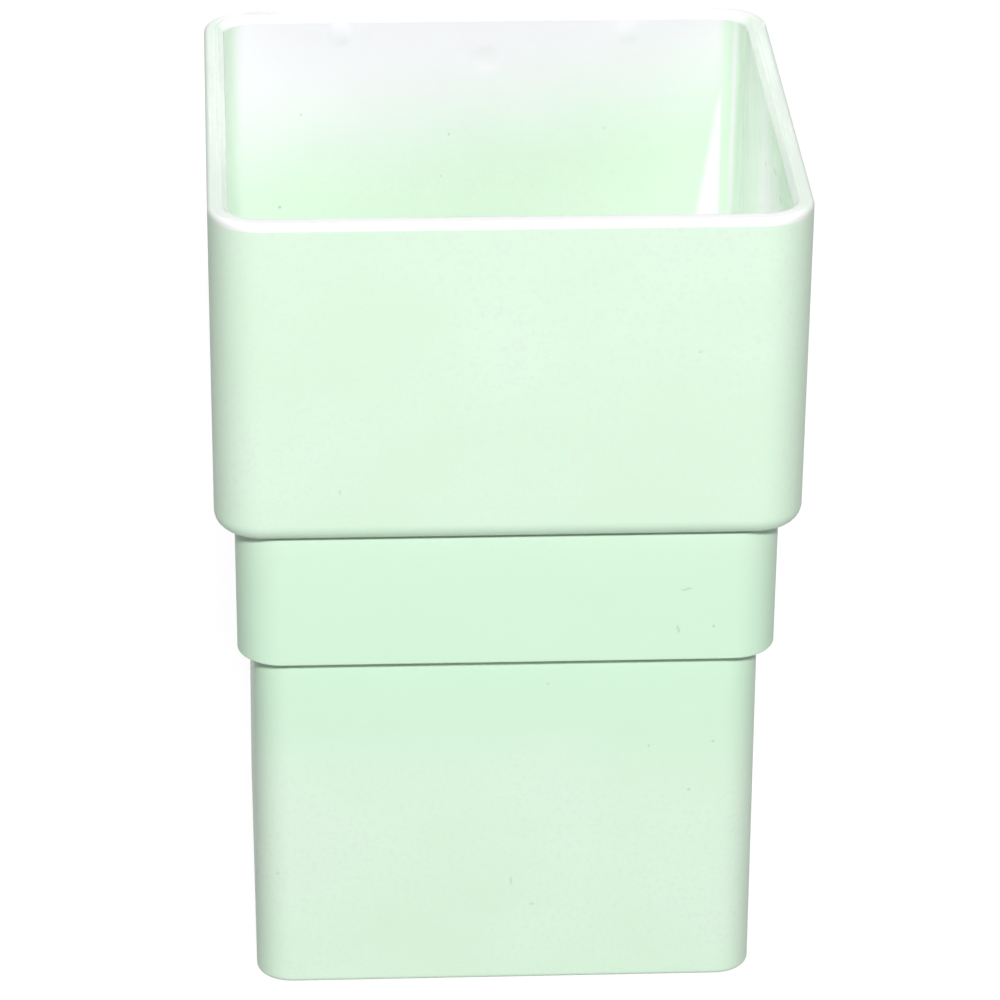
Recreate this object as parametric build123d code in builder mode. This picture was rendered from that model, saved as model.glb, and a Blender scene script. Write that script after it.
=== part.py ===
from build123d import *
import os
from math import asin, degrees, radians, tan

# Downpipe socket: one moulding that joins two lengths of square rainwater downpipe.
# It stands on its spigot end. The origin is at the centre of that end and +Z points up the pipe.
# Lengths are in millimetres and angles in degrees.

# The square downpipe
pipe_outer = 65.0
pipe_wall = 1.8

# Gap between the fitting and a pipe, on each side
socket_clearance = 0.14
spigot_clearance = 0.2

# Moulded wall, and the draft that lets the moulding leave its mould
wall = 2.4
draft = 0.44

# Length of each tier, from the spigot end up
spigot_length = 44.8
middle_length = 17.5
socket_length = 40.9

# Outside corner radius at the foot of each tier
spigot_corner = 4.4
middle_corner = 5.5
socket_corner = 5.9

# Edges
rim_rounding = 0.6
rim_lead_in = 0.65
socket_foot_flat = 0.35
middle_foot_rounding = 0.25
spigot_tip_rounding = 0.6
ledge_chamfer = 0.5

# Grip pips on the front and back walls, just inside the rim
pip_spacing = 36.4
pip_drop = 2.5
pip_sphere_radius = 7.0
pip_clearance = 0.24
pip_root_depth = 0.1

# Shallow gate mark in the middle of the back wall
gate_drop = 6.0
gate_depth = 0.2
gate_sphere_radius = 8.0

# Levels
middle_foot = spigot_length
socket_foot = middle_foot + middle_length
rim = socket_foot + socket_length
inner_step = middle_foot + wall
pipe_seat = socket_foot + wall
level_tolerance = 0.01

# Widening of each side for every millimetre of height
flare = tan(radians(draft))


def drafted(across, level, other_level):
    """Width at other_level of a drafted tier that is this far across at level."""
    return across + 2 * (other_level - level) * flare


# Widths across the flats
spigot_outer = pipe_outer - 2 * (pipe_wall + spigot_clearance)
seat_bore = pipe_outer + 2 * socket_clearance
middle_half_way = middle_foot + middle_length / 2
spigot_half_way = spigot_length / 2
middle_foot_outer = drafted(pipe_outer, middle_half_way, middle_foot)
middle_top_outer = drafted(pipe_outer, middle_half_way, socket_foot)
socket_foot_outer = drafted(seat_bore + 2 * wall, pipe_seat, socket_foot)
middle_bore = drafted(pipe_outer - 2 * wall, middle_half_way, inner_step)
spigot_bore = drafted(spigot_outer - 2 * wall, spigot_half_way, 0)
socket_foot_rounding = (socket_foot_outer - middle_top_outer) / 2 - socket_foot_flat

# Tiers as foot level, top level, width at the foot, corner radius at the foot and draft
outside_tiers = (
    (0, middle_foot, spigot_outer, spigot_corner, 0),
    (middle_foot, socket_foot, middle_foot_outer, middle_corner, draft),
    (socket_foot, rim, socket_foot_outer, socket_corner, draft),
)
bore_tiers = (
    (0, inner_step, spigot_bore, spigot_corner - wall, draft),
    (inner_step, pipe_seat, middle_bore, middle_corner - wall, draft),
    (pipe_seat, rim, seat_bore, socket_corner - wall, draft),
)
outside_roundings = (
    (rim, rim_rounding),
    (socket_foot, socket_foot_rounding),
    (middle_foot, middle_foot_rounding),
    (0, spigot_tip_rounding),
)

# Pips stand out of the wall as far as the pipe's clearance allows
pip_level = rim - pip_drop
pip_tip = pipe_outer / 2 + pip_clearance
pip_root = drafted(seat_bore, pipe_seat, pip_level) / 2 + pip_root_depth
pip_base_angle = degrees(asin((pip_tip + pip_sphere_radius - pip_root) / pip_sphere_radius))
gate_level = rim - gate_drop
gate_wall = drafted(seat_bore, pipe_seat, gate_level) / 2


def flat_at(part, level):
    """The level face of the part at this height."""
    level_faces = part.faces().filter_by(Axis.Z)
    return level_faces.filter_by_position(Axis.Z, level - level_tolerance, level + level_tolerance)[0]


with BuildPart() as downpipe_socket:
    # Stepped outside, each tier narrower than the one above
    for foot, top, across, corner, taper in outside_tiers:
        with BuildSketch(Plane.XY.offset(foot)):
            RectangleRounded(across, across, corner)
        extrude(amount=top - foot, taper=-taper)
    for level, radius in outside_roundings:
        fillet(flat_at(downpipe_socket, level).outer_wire().edges(), radius)

    # Stepped bore that follows the outside at one wall thickness
    for foot, top, across, corner, taper in bore_tiers:
        with BuildSketch(Plane.XY.offset(foot)):
            RectangleRounded(across, across, corner)
        extrude(amount=top - foot, taper=-taper, mode=Mode.SUBTRACT)

    # Lead-in at the mouth, and broken inner edges where water runs over them
    chamfer(flat_at(downpipe_socket, rim).inner_wires()[0].edges(), rim_lead_in)
    for level in (pipe_seat, inner_step, 0):
        chamfer(flat_at(downpipe_socket, level).inner_wires()[0].edges(), ledge_chamfer)

    # Domed grip pips, a pair on the back wall and a pair on the front wall
    for side in (1, -1):
        pip_centre = (0, side * (pip_tip + pip_sphere_radius), pip_level)
        with Locations(Plane(pip_centre, x_dir=(1, 0, 0), z_dir=(0, -side, 0))):
            with GridLocations(pip_spacing, 0, 2, 1):
                Sphere(pip_sphere_radius, arc_size1=pip_base_angle, arc_size2=90, align=None)

    # Dished gate mark on the back wall
    with Locations((0, gate_wall + gate_depth - gate_sphere_radius, gate_level)):
        Sphere(gate_sphere_radius, mode=Mode.SUBTRACT)

downpipe_socket.part.label = "downpipe_socket"

os.makedirs("parts", exist_ok=True)
export_step(downpipe_socket.part, "parts/downpipe_socket.step")
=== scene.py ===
from collections import namedtuple
from math import cos, hypot, pi, radians, sin, sqrt, tan

import bpy
from mathutils import Matrix, Vector


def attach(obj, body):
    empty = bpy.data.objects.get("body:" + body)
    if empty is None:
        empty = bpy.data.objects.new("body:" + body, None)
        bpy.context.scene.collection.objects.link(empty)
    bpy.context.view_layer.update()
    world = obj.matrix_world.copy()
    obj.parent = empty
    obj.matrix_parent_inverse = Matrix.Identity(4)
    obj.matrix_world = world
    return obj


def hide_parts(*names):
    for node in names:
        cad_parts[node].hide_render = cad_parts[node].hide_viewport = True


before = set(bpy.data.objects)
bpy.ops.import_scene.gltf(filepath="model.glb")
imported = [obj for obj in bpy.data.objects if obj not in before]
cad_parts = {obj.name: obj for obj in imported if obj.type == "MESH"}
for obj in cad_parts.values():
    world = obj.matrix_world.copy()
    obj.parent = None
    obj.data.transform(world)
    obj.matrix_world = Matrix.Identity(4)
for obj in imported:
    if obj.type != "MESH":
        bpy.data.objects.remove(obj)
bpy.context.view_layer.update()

# Lengths are in millimetres up to the finished mesh, which is in metres
MM = 0.001
NODE = "downpipe_socket"

# The solid's driving sizes
PIPE_OUTER = 65.0
PIPE_WALL = 1.8
SOCKET_CLEARANCE = 0.14
SPIGOT_CLEARANCE = 0.2
WALL = 2.4
DRAFT_DEGREES = 0.44
FLARE = tan(radians(DRAFT_DEGREES))
SPIGOT_LENGTH = 44.8
MIDDLE_LENGTH = 17.5
SOCKET_LENGTH = 40.9
SPIGOT_CORNER = 4.4
MIDDLE_CORNER = 5.5
SOCKET_CORNER = 5.9
RIM_ROUNDING = 0.6
RIM_LEAD_IN = 0.65
SOCKET_FOOT_FLAT = 0.35
MIDDLE_FOOT_ROUNDING = 0.25
SPIGOT_TIP_ROUNDING = 0.6
LEDGE_CHAMFER = 0.5
PIP_SPACING = 36.4
PIP_DROP = 2.5
PIP_SPHERE_RADIUS = 7.0
PIP_CLEARANCE = 0.24
GATE_DROP = 6.0
GATE_DEPTH = 0.2
GATE_SPHERE_RADIUS = 8.0

# Levels
MIDDLE_FOOT = SPIGOT_LENGTH
SOCKET_FOOT = MIDDLE_FOOT + MIDDLE_LENGTH
RIM = SOCKET_FOOT + SOCKET_LENGTH
INNER_STEP = MIDDLE_FOOT + WALL
PIPE_SEAT = SOCKET_FOOT + WALL

# Mesh density
CORNER_STEPS = 18
FLAT_COLUMNS = 20
LEAST_COLUMN_SHARE = 0.002
RING_STEP = 4.0
RELIEF_STEP = 0.3
RELIEF_REACH = 2.4
ROUNDING_STEPS = 8
CREASE = 0.08

Tier = namedtuple("Tier", "foot half corner flare")
Ring = namedtuple("Ring", "half corner level")
GrimeAndShadeLine = namedtuple("GrimeAndShadeLine", "foot reach depth")


def tier_through(level, half, foot, corner, flare=FLARE):
    """A drafted tier that has this half width at a level, and this corner radius at its foot."""
    return Tier(foot, half + (foot - level) * flare, corner, flare)


MIDDLE_HALF_WAY = MIDDLE_FOOT + MIDDLE_LENGTH / 2
SPIGOT_HALF = PIPE_OUTER / 2 - PIPE_WALL - SPIGOT_CLEARANCE
SEAT_HALF = PIPE_OUTER / 2 + SOCKET_CLEARANCE
spigot = Tier(0, SPIGOT_HALF, SPIGOT_CORNER, 0)
middle = tier_through(MIDDLE_HALF_WAY, PIPE_OUTER / 2, MIDDLE_FOOT, MIDDLE_CORNER)
socket = tier_through(PIPE_SEAT, SEAT_HALF + WALL, SOCKET_FOOT, SOCKET_CORNER)
spigot_bore = tier_through(SPIGOT_LENGTH / 2, SPIGOT_HALF - WALL, 0, SPIGOT_CORNER - WALL)
middle_bore = tier_through(MIDDLE_HALF_WAY, PIPE_OUTER / 2 - WALL, INNER_STEP, MIDDLE_CORNER - WALL)
socket_bore = tier_through(PIPE_SEAT, SEAT_HALF, PIPE_SEAT, SOCKET_CORNER - WALL)


def ring(tier, level, inset=0.0):
    """The rounded square that is this far inside a tier's own outline at a level."""
    growth = (level - tier.foot) * tier.flare - inset
    return Ring(tier.half + growth, tier.corner + growth, level)


def run(start, end, step=RING_STEP):
    """Rings along a straight stretch of the profile, with one close to each end to hold its edge."""
    length = hypot(end.half - start.half, end.level - start.level)
    hold = CREASE / length
    count = max(1, round(length / step))
    shares = [0, hold, *(i / count for i in range(1, count)), 1 - hold, 1]
    return [Ring(*(a + (b - a) * share for a, b in zip(start, end))) for share in shares]


def foot_rounding(tier, radius):
    """Rings round the lower edge of a tier, from its flat foot to its side."""
    turns = [i / ROUNDING_STEPS * pi / 2 for i in range(ROUNDING_STEPS + 1)]
    return [ring(tier, tier.foot + radius * (1 - cos(t)), radius * (1 - sin(t))) for t in turns]


def rim_rounding(tier, top, radius):
    """Rings round the upper edge of a tier, from its side to its flat top."""
    turns = [i / ROUNDING_STEPS * pi / 2 for i in range(ROUNDING_STEPS + 1)]
    return [ring(tier, top - radius * (1 - sin(t)), radius * (1 - cos(t))) for t in turns]


def chamfered_bore(bore, top, end):
    """Rings from the broken upper edge of a bore down its side."""
    edge = run(ring(bore, top, -LEDGE_CHAMFER), ring(bore, top - LEDGE_CHAMFER))
    return edge + run(edge[-1], ring(bore, end))[1:]


def profile():
    """Rings from the spigot's end up the outside, over the rim, down the bore and back."""
    foot_step = ring(socket, SOCKET_FOOT).half - ring(middle, SOCKET_FOOT).half
    relief_end = ring(socket_bore, RIM - GATE_DROP - RELIEF_REACH)
    bends = (
        foot_rounding(spigot, SPIGOT_TIP_ROUNDING),
        [ring(spigot, MIDDLE_FOOT)],
        foot_rounding(middle, MIDDLE_FOOT_ROUNDING),
        [ring(middle, SOCKET_FOOT)],
        foot_rounding(socket, foot_step - SOCKET_FOOT_FLAT),
        rim_rounding(socket, RIM, RIM_ROUNDING),
        [ring(socket_bore, RIM, -RIM_LEAD_IN)],
        run(ring(socket_bore, RIM - RIM_LEAD_IN), relief_end, RELIEF_STEP),
        [ring(socket_bore, PIPE_SEAT)],
        chamfered_bore(middle_bore, PIPE_SEAT, INNER_STEP),
        chamfered_bore(spigot_bore, INNER_STEP, LEDGE_CHAMFER),
        [ring(spigot_bore, 0, -LEDGE_CHAMFER)],
    )
    rings = []
    for bend, following in zip(bends, bends[1:] + bends[:1]):
        rings += bend + run(bend[-1], following[0])[1:-1]
    return rings


def columns():
    """Shares of a flat side's half length, closer together where the pips and the gate mark are."""
    flat = ring(socket_bore, RIM).half - ring(socket_bore, RIM).corner
    shares = {i * 2 / FLAT_COLUMNS - 1 for i in range(FLAT_COLUMNS + 1)}
    reach = round(RELIEF_REACH / RELIEF_STEP)
    for centre in (-PIP_SPACING / 2, 0, PIP_SPACING / 2):
        shares |= {(centre + i * RELIEF_STEP) / flat for i in range(-reach, reach + 1)}
    ordered = sorted(shares)
    following = ordered[1:] + [2]
    return [share for share, after in zip(ordered, following) if after - share > LEAST_COLUMN_SHARE]


def dome(radius, height, distance):
    """Height of a low spherical dome at a distance from its middle."""
    if distance >= radius:
        return 0.0
    return max(0.0, sqrt(radius * radius - distance * distance) - radius + height)


def relief(along, level, back):
    """How far the socket's front or back wall stands into the bore at a point of it."""
    pip_height = ring(socket_bore, RIM - PIP_DROP).half - PIPE_OUTER / 2 - PIP_CLEARANCE
    pip_distance = hypot(abs(along) - PIP_SPACING / 2, level - RIM + PIP_DROP)
    height = dome(PIP_SPHERE_RADIUS, pip_height, pip_distance)
    if back:
        height -= dome(GATE_SPHERE_RADIUS, GATE_DEPTH, hypot(along, level - RIM + GATE_DROP))
    return height


def ring_points(outline, shares):
    """Points round a rounded square, anticlockwise from above, starting on the front side."""
    straight = outline.half - outline.corner
    in_socket = outline.level > PIPE_SEAT and outline.half < ring(socket_bore, RIM, -RIM_LEAD_IN / 2).half
    points = []
    for quarter in range(4):
        turn = Matrix.Rotation(quarter * pi / 2, 3, "Z")
        for share in shares:
            depth = outline.half
            if in_socket and quarter in (0, 2):
                depth -= relief(share * straight, outline.level, quarter == 2)
            points.append(turn @ Vector((share * straight, -depth, outline.level)))
        for step in range(1, CORNER_STEPS):
            angle = step / CORNER_STEPS * pi / 2 - pi / 2
            x = straight + outline.corner * cos(angle)
            y = -straight + outline.corner * sin(angle)
            points.append(turn @ Vector((x, y, outline.level)))
    return points


def build_shell():
    """The whole moulding as one closed mesh of quads."""
    shares = columns()
    rings = profile()
    points = [point * MM for outline in rings for point in ring_points(outline, shares)]
    around = len(points) // len(rings)
    faces = []
    for row in range(len(rings)):
        low, high = row * around, (row + 1) % len(rings) * around
        for i in range(around):
            j = (i + 1) % around
            faces.append((low + i, low + j, high + j, high + i))
    mesh = bpy.data.meshes.new("socket_shell")
    mesh.from_pydata(points, [], faces)
    mesh.polygons.foreach_set("use_smooth", [True] * len(mesh.polygons))
    mesh.update()
    shell = bpy.data.objects.new("socket_shell", mesh)
    bpy.context.scene.collection.objects.link(shell)
    return shell


class Nodes:
    """Adds nodes to one shader tree. An input is a plain value or another node's output."""

    def __init__(self, tree):
        self.tree = tree
        tree.nodes.clear()

    def add(self, kind, inputs=(), **settings):
        node = self.tree.nodes.new(kind)
        for name, value in settings.items():
            setattr(node, name, value)
        for name, value in dict(inputs).items():
            if isinstance(value, bpy.types.NodeSocket):
                self.tree.links.new(value, node.inputs[name])
            else:
                node.inputs[name].default_value = value
        return node

    def math(self, operation, *values):
        return self.add("ShaderNodeMath", enumerate(values), operation=operation).outputs[0]

    def vector(self, operation, *values):
        return self.add("ShaderNodeVectorMath", enumerate(values), operation=operation).outputs["Vector"]

    def length(self, place):
        return self.add("ShaderNodeVectorMath", {0: place}, operation="LENGTH").outputs["Value"]

    def step(self, value, start, end):
        """0 up to the start and 1 from the end on, with a smooth change between them."""
        inputs = {"Value": value, "From Min": start, "From Max": end}
        return self.add("ShaderNodeMapRange", inputs, interpolation_type="SMOOTHSTEP").outputs["Result"]

    def band(self, value, low, high, soft):
        """1 between two values and 0 outside them, with soft ends."""
        rise = self.step(value, low - soft, low + soft)
        return self.math("MULTIPLY", rise, self.step(value, high + soft, high - soft))

    def every(self, *masks):
        """The product of several masks."""
        product = masks[0]
        for mask in masks[1:]:
            product = self.math("MULTIPLY", product, mask)
        return product

    def mix(self, share, low, high):
        """A colour between two others."""
        return self.add("ShaderNodeMix", {0: share, 6: low, 7: high}, data_type="RGBA").outputs[2]

    def noise(self, place, scale, detail=2.0):
        inputs = {"Vector": place, "Scale": scale, "Detail": detail}
        return self.add("ShaderNodeTexNoise", inputs).outputs["Fac"]


def new_material(name):
    """An empty node material, with its nodes and its output."""
    material = bpy.data.materials.new(name)
    material.use_nodes = True
    nodes = Nodes(material.node_tree)
    return material, nodes, nodes.add("ShaderNodeOutputMaterial")


# Colours of the plastic, and of the painted light and shade on it
MINT = (0.715, 0.92, 0.725, 1)
MINT_PALE = (0.75, 0.93, 0.765, 1)
MINT_GRAIN = (0.735, 0.885, 0.745, 1)
# Painted shade under the feet's overhangs
MINT_SHADED_LOW = (0.675, 0.92, 0.71, 1)
# Painted light and painted reflection in the bore, and painted shade on its front and back walls
BORE_PAINTED_LIGHT = (0.895, 0.86, 0.92, 1)
BORE_SIDE_PAINTED_LIGHT = (0.88, 0.965, 0.885, 1)
BORE_SHADE = (0.64, 0.76, 0.64, 1)
# Painted highlight on the rim: front and back, sides, and the sides' lead-in
RIM_HIGHLIGHT = (0.975, 0.98, 0.98, 1)
RIM_SIDE = (0.815, 0.915, 0.83, 1)
RIM_LEAD = (0.85, 0.98, 0.865, 1)
# Grime with painted shade in it under the feet, and the colour of the small specks
GRIME_AND_SHADE = (0.14, 0.135, 0.09, 1)
SCUFF = (0.42, 0.45, 0.38, 1)

# Textures, as features in each millimetre, and the part of a noise that shows
CLOUD_SCALE = 0.05
CLOUD_DETAIL = 3.0
CLOUD_RANGE = (0.35, 0.68)
GRAIN_SCALE = 1.6
GRAIN_RANGE = (0.45, 0.8)
WAVE_SCALE = 0.07
WAVE_HEIGHT = 0.12
FINE_SCALE = 2.5
FINE_HEIGHT = 0.004

# Gloss, duller where it is dirty
SATIN_SCALE = 0.3
SATIN_DETAIL = 3.0
SATIN_ROUGHNESS = 0.42
SATIN_CHANGE = 0.1
BORE_GLOSS = 0.39
DIRT_DULLNESS = 0.25
PLASTIC_IOR = 1.52

# Painted shade under the feet's overhangs: the darker, greener stretch from the top of the spigot to the
# socket's foot
LOW_START = 32.0
LOW_SOFT = 8.0

# Rounded squares inside the wall of each tier, from a level up, that part the bore from the outside
BORE_LIMITS = (Ring(29.3, 3.2, -1.0), Ring(31.3, 4.3, INNER_STEP - 0.1), Ring(34.0, 4.9, PIPE_SEAT - 0.1))
LIMIT_SOFT = 0.2
LEVEL_SOFT = 0.05
BACK_WALL = 31.0
BACK_WALL_SOFT = 1.5
WALL_SHADE = 0.5

# Painted light on the bore's pale upper part, whose edge runs lower to the left, and a painted reflection
# line in two corners
PALE_EDGE_DEPTH = 10.7
PALE_EDGE_LEAN = 0.127
PALE_EDGE_WANDER = 4.0
PALE_FADE = (9.0, 12.0)
PALE_CENTRE = -0.5
PALE_HALF = 30.9
PALE_END_FADE = 1.2
CORNER_LINE = 0.5
CORNER_LINE_DEPTH = 0.7

# Painted light on the bore's side walls, streaked as a painted reflection, and on the part below the pipe's
# seat
PALE_SIDE_FRONT = 0.5
PALE_SIDE_REAR = 0.65
SIDE_REAR = 16.5
SIDE_REAR_SOFT = 1.0
SIDE_STREAK_STRETCH = (1.0, 1.0, 0.03)
SIDE_STREAK_SCALE = 0.9
SIDE_STREAK_CHANGE = 0.5
PALE_BELOW = 0.9
SEAT_SOFT = 0.2

# Painted reflection: the pale streak on the back wall by the right corner
STREAK_TOP = 93.4
STREAK_RIGHT = 30.2
STREAK_LEAN = 0.157
STREAK_TOP_FADE = (1.0, 3.0)
STREAK_SOFT = 0.5
STREAK_RIGHT_FADE = (0.3, 0.2)

# Painted highlight on the rim's top, whose palest front and back part begins near the corners
RIM_HIGHLIGHT_DROP = 0.95
RIM_HIGHLIGHT_SOFT = 0.1
RIM_TURN = (-4.0, 2.0)

# Painted shade and grime under the two feet
GRIME_AND_SHADE_LINES = (GrimeAndShadeLine(SOCKET_FOOT, 0.65, 0.45), GrimeAndShadeLine(MIDDLE_FOOT, 1.0, 0.35))
GRIME_AND_SHADE_SOFT = 0.08
GRIME_AND_SHADE_PATCH_SCALE = 0.25
GRIME_AND_SHADE_PATCH_DETAIL = 3.0
GRIME_AND_SHADE_PATCH_RANGE = (0.1, 0.5)
GRIME_AND_SHADE_LEAST = 0.7

# Rubbed patches on the right wall of the bore, near the rim and towards the front
SCUFF_DEPTH = 0.28
SCUFF_STRETCH = (1.0, 0.3, 1.6)
SCUFF_SCALE = 1.0
SCUFF_DETAIL = 4.0
SCUFF_RANGE = (0.6, 0.68)
SCUFF_WALL_SOFT = 1.0
SCUFF_DROPS = (12.0, 1.8)
SCUFF_LEVEL_SOFT = 1.5
SCUFF_FRONT = 8.0

# How much of a mark's reach is its full darkness
MARK_CORE = 0.3

# Small marks: where each one is, how long it is each way and how dark
MARKS = (
    ((-4.4, 32.8, 87.1), (0.22, 1.0, 0.3), 0.23),
    ((-26.0, 32.8, 77.4), (0.3, 1.0, 0.3), 0.33),
    ((-23.2, 32.8, 90.0), (0.25, 1.0, 0.25), 0.2),
    ((15.4, 32.8, 87.7), (0.2, 1.0, 0.3), 0.16),
    ((-5.4, 32.8, 81.4), (0.2, 1.0, 0.3), 0.16),
    ((-20.2, -35.2, 69.0), (0.25, 1.0, 0.5), 0.16),
    ((21.9, -35.2, 86.5), (0.3, 1.0, 0.3), 0.13),
    ((32.5, -34.9, 91.0), (0.3, 1.0, 0.5), 0.16),
    ((21.0, -32.5, 54.25), (0.6, 1.0, 0.18), 0.2),
    ((21.5, -32.5, 54.42), (0.6, 1.0, 0.18), 0.2),
    ((20.28, -32.5, 49.2), (0.2, 1.0, 0.42), 0.26),
    ((20.44, -32.5, 48.8), (0.2, 1.0, 0.42), 0.26),
    ((24.6, -32.5, 49.3), (0.25, 1.0, 0.25), 0.26),
    ((4.9, -30.5, 40.9), (0.3, 1.0, 0.3), 0.16),
    ((25.1, -30.5, 32.7), (0.3, 1.0, 0.25), 0.2),
    ((17.3, -30.5, 32.2), (0.25, 1.0, 0.35), 0.16),
    ((22.3, -30.5, 26.1), (0.3, 1.0, 0.3), 0.2),
    ((0.7, -30.5, 13.8), (0.25, 1.0, 0.8), 0.16),
    ((3.3, -30.5, 10.5), (0.5, 1.0, 0.25), 0.16),
    ((-27.9, -30.5, 15.2), (0.3, 1.0, 0.4), 0.16),
    ((32.8, 2.1, 94.9), (1.0, 1.2, 0.4), 0.3),
    ((32.8, -8.2, 98.1), (1.0, 1.6, 0.5), 0.35),
    ((32.8, -15.7, 97.5), (1.0, 1.8, 0.6), 0.35),
    ((32.8, -25.0, 101.6), (1.0, 1.8, 0.5), 0.3),
)


def mint(nodes, place):
    """Mint plastic, faintly clouded and grained."""
    cloud = nodes.step(nodes.noise(place, CLOUD_SCALE, CLOUD_DETAIL), *CLOUD_RANGE)
    grain = nodes.step(nodes.noise(place, GRAIN_SCALE), *GRAIN_RANGE)
    return nodes.mix(grain, nodes.mix(cloud, MINT, MINT_PALE), MINT_GRAIN)


def in_bore(nodes, x, y, z):
    """1 inside the bore, which is wider in each tier."""
    inside = 0.0
    for limit in BORE_LIMITS:
        straight = limit.half - limit.corner
        beyond_x = nodes.math("MAXIMUM", nodes.math("SUBTRACT", nodes.math("ABSOLUTE", x), straight), 0.0)
        beyond_y = nodes.math("MAXIMUM", nodes.math("SUBTRACT", nodes.math("ABSOLUTE", y), straight), 0.0)
        squared = nodes.math("MULTIPLY_ADD", beyond_x, beyond_x, nodes.math("MULTIPLY", beyond_y, beyond_y))
        away = nodes.math("SQRT", squared)
        within = nodes.step(away, limit.corner + LIMIT_SOFT, limit.corner - LIMIT_SOFT)
        above = nodes.step(z, limit.level - LEVEL_SOFT, limit.level + LEVEL_SOFT)
        inside = nodes.math("MAXIMUM", inside, nodes.every(above, within))
    return inside


def front_or_back(nodes, y):
    """1 on the bore's front and back walls."""
    return nodes.step(nodes.math("ABSOLUTE", y), BACK_WALL - BACK_WALL_SOFT, BACK_WALL)


def painted_light_top(nodes, place, x, y, z):
    """Painted light on the top of the bore's front and back walls, and a painted reflection line in two
    corners.
    """
    noise = nodes.math("SUBTRACT", nodes.noise(place, CLOUD_SCALE), 0.5)
    wander = nodes.math("MULTIPLY", noise, PALE_EDGE_WANDER)
    edge = nodes.math("ADD", nodes.math("MULTIPLY", x, PALE_EDGE_LEAN), RIM - PALE_EDGE_DEPTH)
    above = nodes.math("ADD", nodes.math("SUBTRACT", z, edge), wander)
    across = nodes.math("ABSOLUTE", nodes.math("SUBTRACT", x, PALE_CENTRE))
    away = nodes.step(across, PALE_HALF + PALE_END_FADE, PALE_HALF - PALE_END_FADE)
    top = nodes.every(front_or_back(nodes, y), away, nodes.step(above, -PALE_FADE[1], PALE_FADE[0]))
    skew = nodes.math("SUBTRACT", x, y)
    line = nodes.every(nodes.band(skew, -CORNER_LINE, CORNER_LINE, CORNER_LINE), CORNER_LINE_DEPTH)
    return nodes.math("MAXIMUM", top, line)


def painted_light_sides(nodes, place, y, z):
    """Painted light on the bore's side walls, streaked as a painted reflection, and on all of the bore
    below the pipe's seat.
    """
    rear = nodes.step(y, SIDE_REAR - SIDE_REAR_SOFT, SIDE_REAR + SIDE_REAR_SOFT)
    streaks = nodes.noise(nodes.vector("MULTIPLY", place, SIDE_STREAK_STRETCH), SIDE_STREAK_SCALE)
    least = PALE_SIDE_FRONT - SIDE_STREAK_CHANGE / 2
    streaked = nodes.math("MULTIPLY_ADD", streaks, SIDE_STREAK_CHANGE, least)
    side = nodes.math("MULTIPLY_ADD", rear, PALE_SIDE_REAR - PALE_SIDE_FRONT, streaked)
    side = nodes.every(side, nodes.math("SUBTRACT", 1.0, front_or_back(nodes, y)))
    below = nodes.every(nodes.step(z, PIPE_SEAT + SEAT_SOFT, PIPE_SEAT), PALE_BELOW)
    return nodes.math("MAXIMUM", side, below)


def painted_reflection_streak(nodes, x, y, z, bore):
    """A painted reflection: a pale streak on the back wall, wider lower down."""
    foot = STREAK_RIGHT - STREAK_TOP * STREAK_LEAN
    left = nodes.math("ADD", nodes.math("MULTIPLY", z, STREAK_LEAN), foot)
    return nodes.every(
        bore,
        nodes.step(y, BACK_WALL - STREAK_SOFT, BACK_WALL),
        nodes.step(z, STREAK_TOP + STREAK_TOP_FADE[0], STREAK_TOP - STREAK_TOP_FADE[1]),
        nodes.step(nodes.math("SUBTRACT", x, left), -STREAK_SOFT, STREAK_SOFT),
        nodes.step(x, STREAK_RIGHT + STREAK_RIGHT_FADE[0], STREAK_RIGHT - STREAK_RIGHT_FADE[1]),
    )


def highlighted_rim(nodes, x, y, bore):
    """Painted light on the rim's top: a painted highlight, palest at the front and back, fainter on the
    sides.
    """
    ahead = nodes.math("SUBTRACT", nodes.math("ABSOLUTE", y), nodes.math("ABSOLUTE", x))
    side = nodes.mix(bore, RIM_SIDE, RIM_LEAD)
    return nodes.mix(nodes.step(ahead, *RIM_TURN), side, RIM_HIGHLIGHT)


def grime_and_shade_lines(nodes, place, z, bore):
    """Painted shade and grime: dark lines on the outside, in the corners under the two feet."""
    lines = []
    for line in GRIME_AND_SHADE_LINES:
        top = nodes.step(z, line.foot + GRIME_AND_SHADE_SOFT, line.foot)
        reached = nodes.step(z, line.foot - line.reach - GRIME_AND_SHADE_SOFT, line.foot - line.reach + GRIME_AND_SHADE_SOFT)
        lines.append(nodes.every(top, reached, line.depth))
    noise = nodes.noise(place, GRIME_AND_SHADE_PATCH_SCALE, GRIME_AND_SHADE_PATCH_DETAIL)
    patchy = nodes.step(noise, *GRIME_AND_SHADE_PATCH_RANGE)
    share = nodes.math("MULTIPLY_ADD", patchy, 1 - GRIME_AND_SHADE_LEAST, GRIME_AND_SHADE_LEAST)
    outside = nodes.math("SUBTRACT", 1.0, bore)
    return nodes.every(nodes.math("MAXIMUM", *lines), share, outside)


def marks(nodes, place):
    """Small specks and nicks, each a soft spot."""
    darkest = None
    for centre, reach, depth in MARKS:
        offset = nodes.vector("DIVIDE", nodes.vector("SUBTRACT", place, centre), reach)
        spot = nodes.math("MULTIPLY", nodes.step(nodes.length(offset), 1.0, MARK_CORE), depth)
        darkest = spot if darkest is None else nodes.math("MAXIMUM", darkest, spot)
    return darkest


def scuffs(nodes, place, x, y, z, bore):
    """Rubbed patches on one side wall of the socket, where a pipe goes in."""
    streaks = nodes.noise(nodes.vector("MULTIPLY", place, SCUFF_STRETCH), SCUFF_SCALE, SCUFF_DETAIL)
    return nodes.every(
        bore,
        nodes.step(x, BACK_WALL - SCUFF_WALL_SOFT, BACK_WALL),
        nodes.band(z, RIM - SCUFF_DROPS[0], RIM - SCUFF_DROPS[1], SCUFF_LEVEL_SOFT),
        nodes.step(y, SCUFF_FRONT, -SCUFF_FRONT),
        nodes.step(streaks, *SCUFF_RANGE),
    )


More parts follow.
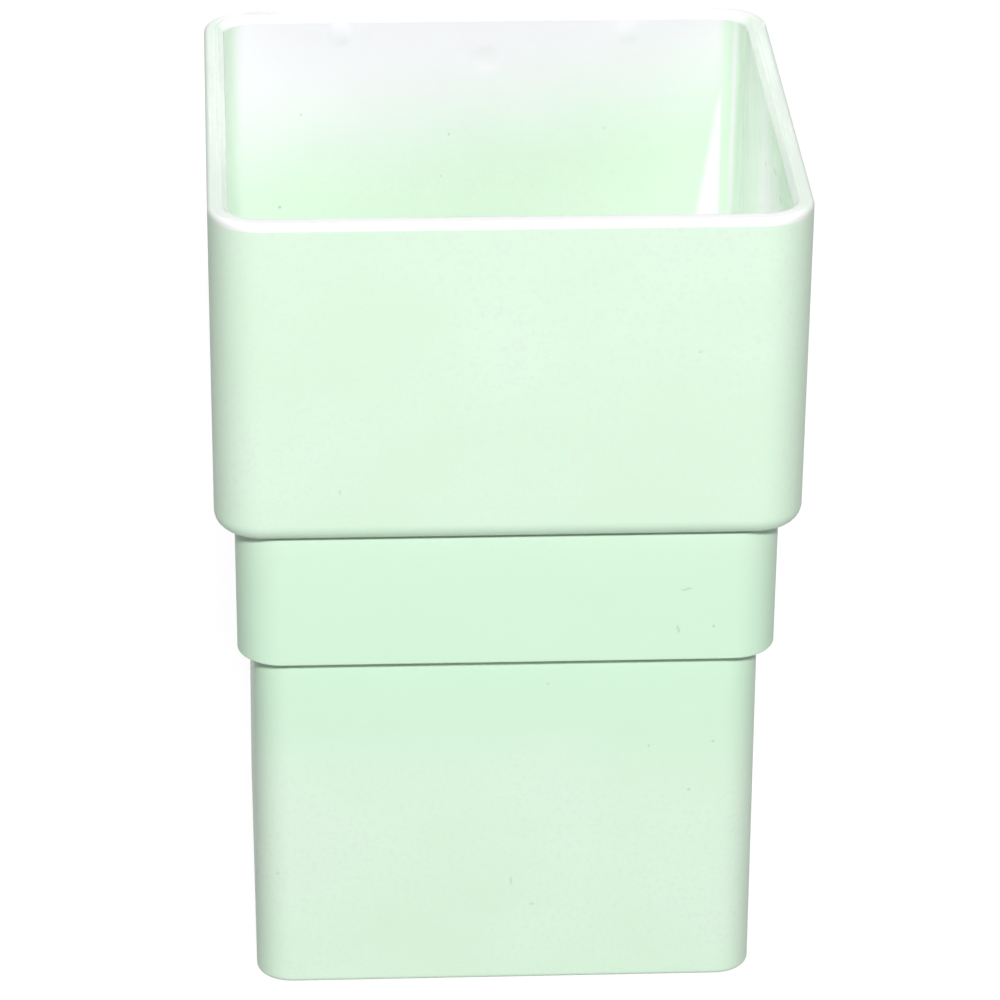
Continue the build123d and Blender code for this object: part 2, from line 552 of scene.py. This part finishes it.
def upvc_material():
    """Pale mint rigid PVC with a moulded satin gloss, painted light and shade in the bore, a painted
    highlight on the rim, and painted shade and grime under the feet.
    """
    material, nodes, output = new_material("upvc")
    where = nodes.add("ShaderNodeTexCoord").outputs["Object"]
    place = nodes.vector("DIVIDE", where, (MM, MM, MM))
    x, y, z = nodes.add("ShaderNodeSeparateXYZ", {0: place}).outputs
    bore = in_bore(nodes, x, y, z)
    scuffed = scuffs(nodes, place, x, y, z, bore)
    shaded_grime = grime_and_shade_lines(nodes, place, z, bore)
    rim_highlight_band = nodes.step(z, RIM - RIM_HIGHLIGHT_DROP - RIM_HIGHLIGHT_SOFT, RIM - RIM_HIGHLIGHT_DROP + RIM_HIGHLIGHT_SOFT)

    # Painted shade on the stretch under the feet's overhangs
    colour = nodes.mix(nodes.band(z, LOW_START, SOCKET_FOOT, LOW_SOFT), mint(nodes, place), MINT_SHADED_LOW)
    # Painted shade on the bore's front and back walls, darker and more saturated
    colour = nodes.mix(nodes.every(bore, front_or_back(nodes, y), WALL_SHADE), colour, BORE_SHADE)
    # Painted light and painted reflection streaks on the bore's side walls, and painted light below the
    # pipe's seat
    colour = nodes.mix(nodes.every(bore, painted_light_sides(nodes, place, y, z)), colour, BORE_SIDE_PAINTED_LIGHT)
    # Painted light on the top of the bore's front and back walls, and a painted reflection line in two
    # corners
    colour = nodes.mix(nodes.every(bore, painted_light_top(nodes, place, x, y, z)), colour, BORE_PAINTED_LIGHT)
    # Painted reflection: a pale streak on the back wall
    colour = nodes.mix(painted_reflection_streak(nodes, x, y, z, bore), colour, BORE_PAINTED_LIGHT)
    # Painted highlight on the rim's top
    colour = nodes.mix(rim_highlight_band, colour, highlighted_rim(nodes, x, y, bore))
    colour = nodes.mix(nodes.math("MULTIPLY", scuffed, SCUFF_DEPTH), colour, SCUFF)
    # Painted shade and grime under the feet, and small specks
    colour = nodes.mix(nodes.math("MAXIMUM", shaded_grime, marks(nodes, place)), colour, GRIME_AND_SHADE)

    noise = nodes.noise(place, SATIN_SCALE, SATIN_DETAIL)
    satin = nodes.math("MULTIPLY_ADD", noise, SATIN_CHANGE, SATIN_ROUGHNESS)
    sheen = nodes.math("MULTIPLY_ADD", bore, -BORE_GLOSS, satin)
    roughness = nodes.math("MULTIPLY_ADD", shaded_grime, DIRT_DULLNESS, sheen)
    waves = nodes.math("MULTIPLY", nodes.noise(place, WAVE_SCALE), WAVE_HEIGHT)
    height = nodes.math("MULTIPLY_ADD", nodes.noise(place, FINE_SCALE), FINE_HEIGHT, waves)
    bump = nodes.add("ShaderNodeBump", {"Height": height, "Strength": 1.0, "Distance": MM})
    shader = nodes.add("ShaderNodeBsdfPrincipled", {
        "Base Color": colour,
        "Roughness": roughness,
        "IOR": PLASTIC_IOR,
        "Normal": bump.outputs["Normal"],
    })
    nodes.tree.links.new(shader.outputs["BSDF"], output.inputs["Surface"])
    return material


def seen_directly(nodes):
    """1 for rays that the camera, a reflection or a clear surface sends, and 0 for light."""
    path = nodes.add("ShaderNodeLightPath").outputs
    either = nodes.math("MAXIMUM", path["Is Camera Ray"], path["Is Glossy Ray"])
    return nodes.math("MAXIMUM", either, path["Is Transmission Ray"])


# Stage
WHITE = (1, 1, 1, 1)
FLOOR_HALF = 3.0
FLOOR_ALBEDO = 0.33
FLOOR_GLOW = 0.86
FLOOR_SHOWN_ALBEDO = 0.25
AMBIENT = 0.06


def build_floor():
    """White floor that shows the object's shadow faintly."""
    mesh = bpy.data.meshes.new("floor")
    corners = [(-1, -1), (1, -1), (1, 1), (-1, 1)]
    mesh.from_pydata([(x * FLOOR_HALF, y * FLOOR_HALF, 0) for x, y in corners], [], [(0, 1, 2, 3)])
    floor = bpy.data.objects.new("floor", mesh)
    bpy.context.scene.collection.objects.link(floor)
    material, nodes, output = new_material("floor")
    lit = nodes.add("ShaderNodeBsdfDiffuse", {"Color": (FLOOR_ALBEDO,) * 3 + (1,)})
    shown = nodes.add("ShaderNodeBsdfDiffuse", {"Color": (FLOOR_SHOWN_ALBEDO,) * 3 + (1,)})
    glow = nodes.add("ShaderNodeEmission", {"Color": WHITE, "Strength": FLOOR_GLOW})
    seen = nodes.add("ShaderNodeAddShader", {0: shown.outputs[0], 1: glow.outputs[0]})
    inputs = {0: seen_directly(nodes), 1: lit.outputs[0], 2: seen.outputs[0]}
    mixed = nodes.add("ShaderNodeMixShader", inputs)
    nodes.tree.links.new(mixed.outputs[0], output.inputs["Surface"])
    mesh.materials.append(material)


def build_world():
    """Soft light from all round, with a white backdrop."""
    world = bpy.data.worlds.new("studio")
    bpy.context.scene.world = world
    world.use_nodes = True
    nodes = Nodes(world.node_tree)
    output = nodes.add("ShaderNodeOutputWorld")
    ambient = nodes.add("ShaderNodeBackground", {"Color": WHITE, "Strength": AMBIENT})
    white = nodes.add("ShaderNodeBackground", {"Color": WHITE, "Strength": 1.0})
    inputs = {0: seen_directly(nodes), 1: ambient.outputs[0], 2: white.outputs[0]}
    mixed = nodes.add("ShaderNodeMixShader", inputs)
    nodes.tree.links.new(mixed.outputs[0], output.inputs["Surface"])


# Lamps: distances and sizes in metres, angles in degrees, aims in millimetres
STUDIO_DISTANCE = 1.4
BORE_LAMP_ELEVATION = 50
BORE_LAMP_DISTANCE = 0.6
BORE_LAMP_SIZE = (0.08, 0.03)
BORE_LAMP_SPREAD = 5


def area_lamp(name, azimuth, elevation, distance, width, height, share, aim=(0, 0, RIM / 2), spread=180):
    """A soft lamp. With no limit to its spread, a share of 1 lights a facing white surface to white."""
    lamp = bpy.data.lights.new(name, "AREA")
    lamp.shape = "RECTANGLE"
    lamp.size, lamp.size_y = width, height
    lamp.energy = share * (pi * distance) ** 2
    lamp.spread = radians(spread)
    holder = bpy.data.objects.new(name, lamp)
    bpy.context.scene.collection.objects.link(holder)
    a, e = radians(azimuth), radians(elevation)
    back = Vector((sin(a) * cos(e), -cos(a) * cos(e), sin(e)))
    holder.location = Vector(aim) * MM + back * distance
    holder.rotation_euler = (-back).to_track_quat("-Z", "Y").to_euler()


def studio_lamp(name, azimuth, elevation, width, height, share):
    """A lamp that lights the whole object."""
    area_lamp(name, azimuth, elevation, STUDIO_DISTANCE, width, height, share)


def bore_lamp(name, azimuth, share, aim):
    """A narrow lamp from one side, high enough to pass over that side and light the opposite inner wall."""
    area_lamp(name, azimuth, BORE_LAMP_ELEVATION, BORE_LAMP_DISTANCE, *BORE_LAMP_SIZE, share, aim,
              BORE_LAMP_SPREAD)


def build_lamps():
    """A lamp above the camera, one overhead, two behind and two into the bore's rear corners."""
    studio_lamp("key", azimuth=0, elevation=34, width=0.18, height=0.1, share=0.935)
    studio_lamp("top", azimuth=0, elevation=88, width=1.0, height=1.0, share=0.1)
    studio_lamp("back_left", azimuth=-148, elevation=48, width=0.5, height=0.3, share=0.17)
    studio_lamp("back_right", azimuth=148, elevation=48, width=0.5, height=0.3, share=0.15)
    bore_lamp("into_right", azimuth=-90, share=0.00105, aim=(32, 30, 80))
    bore_lamp("into_left", azimuth=90, share=0.0009, aim=(-32, 28, 82))


# Camera, found by fitting the tiers' edges to the photograph's 1000 by 1000 frame
FRAME_PIXELS = 1000
SENSOR_WIDTH = 36.0
FOCAL_PIXELS = 5591.4
CAMERA_DISTANCE = 719.56
CAMERA_YAW = 3.298
CAMERA_PITCH = 25.368
CAMERA_ROLL = 0.545
ORIGIN_PIXEL = (491.4, 858.5)


def build_camera():
    """The photograph's viewpoint. The origin of the part shows at ORIGIN_PIXEL."""
    lens = bpy.data.cameras.new("camera")
    lens.sensor_width = SENSOR_WIDTH
    lens.lens = FOCAL_PIXELS / FRAME_PIXELS * SENSOR_WIDTH
    lens.clip_start, lens.clip_end = 0.01, 100
    camera = bpy.data.objects.new("camera", lens)
    bpy.context.scene.collection.objects.link(camera)
    turn = Matrix.Rotation(radians(-CAMERA_YAW), 3, "Z")
    tip = Matrix.Rotation(radians(90 - CAMERA_PITCH), 3, "X")
    roll = Matrix.Rotation(radians(CAMERA_ROLL), 3, "Z")
    rotation = turn @ tip @ roll
    per_pixel = CAMERA_DISTANCE / FOCAL_PIXELS
    right = (FRAME_PIXELS / 2 - ORIGIN_PIXEL[0]) * per_pixel
    up = (ORIGIN_PIXEL[1] - FRAME_PIXELS / 2) * per_pixel
    location = rotation @ Vector((right, up, CAMERA_DISTANCE)) * MM
    camera.matrix_world = Matrix.Translation(location) @ rotation.to_4x4()
    bpy.context.scene.camera = camera


shell = build_shell()
shell.data.materials.append(upvc_material())
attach(shell, "root")
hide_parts(NODE)
build_floor()
build_world()
build_lamps()
build_camera()
bpy.context.scene.view_settings.view_transform = "Standard"
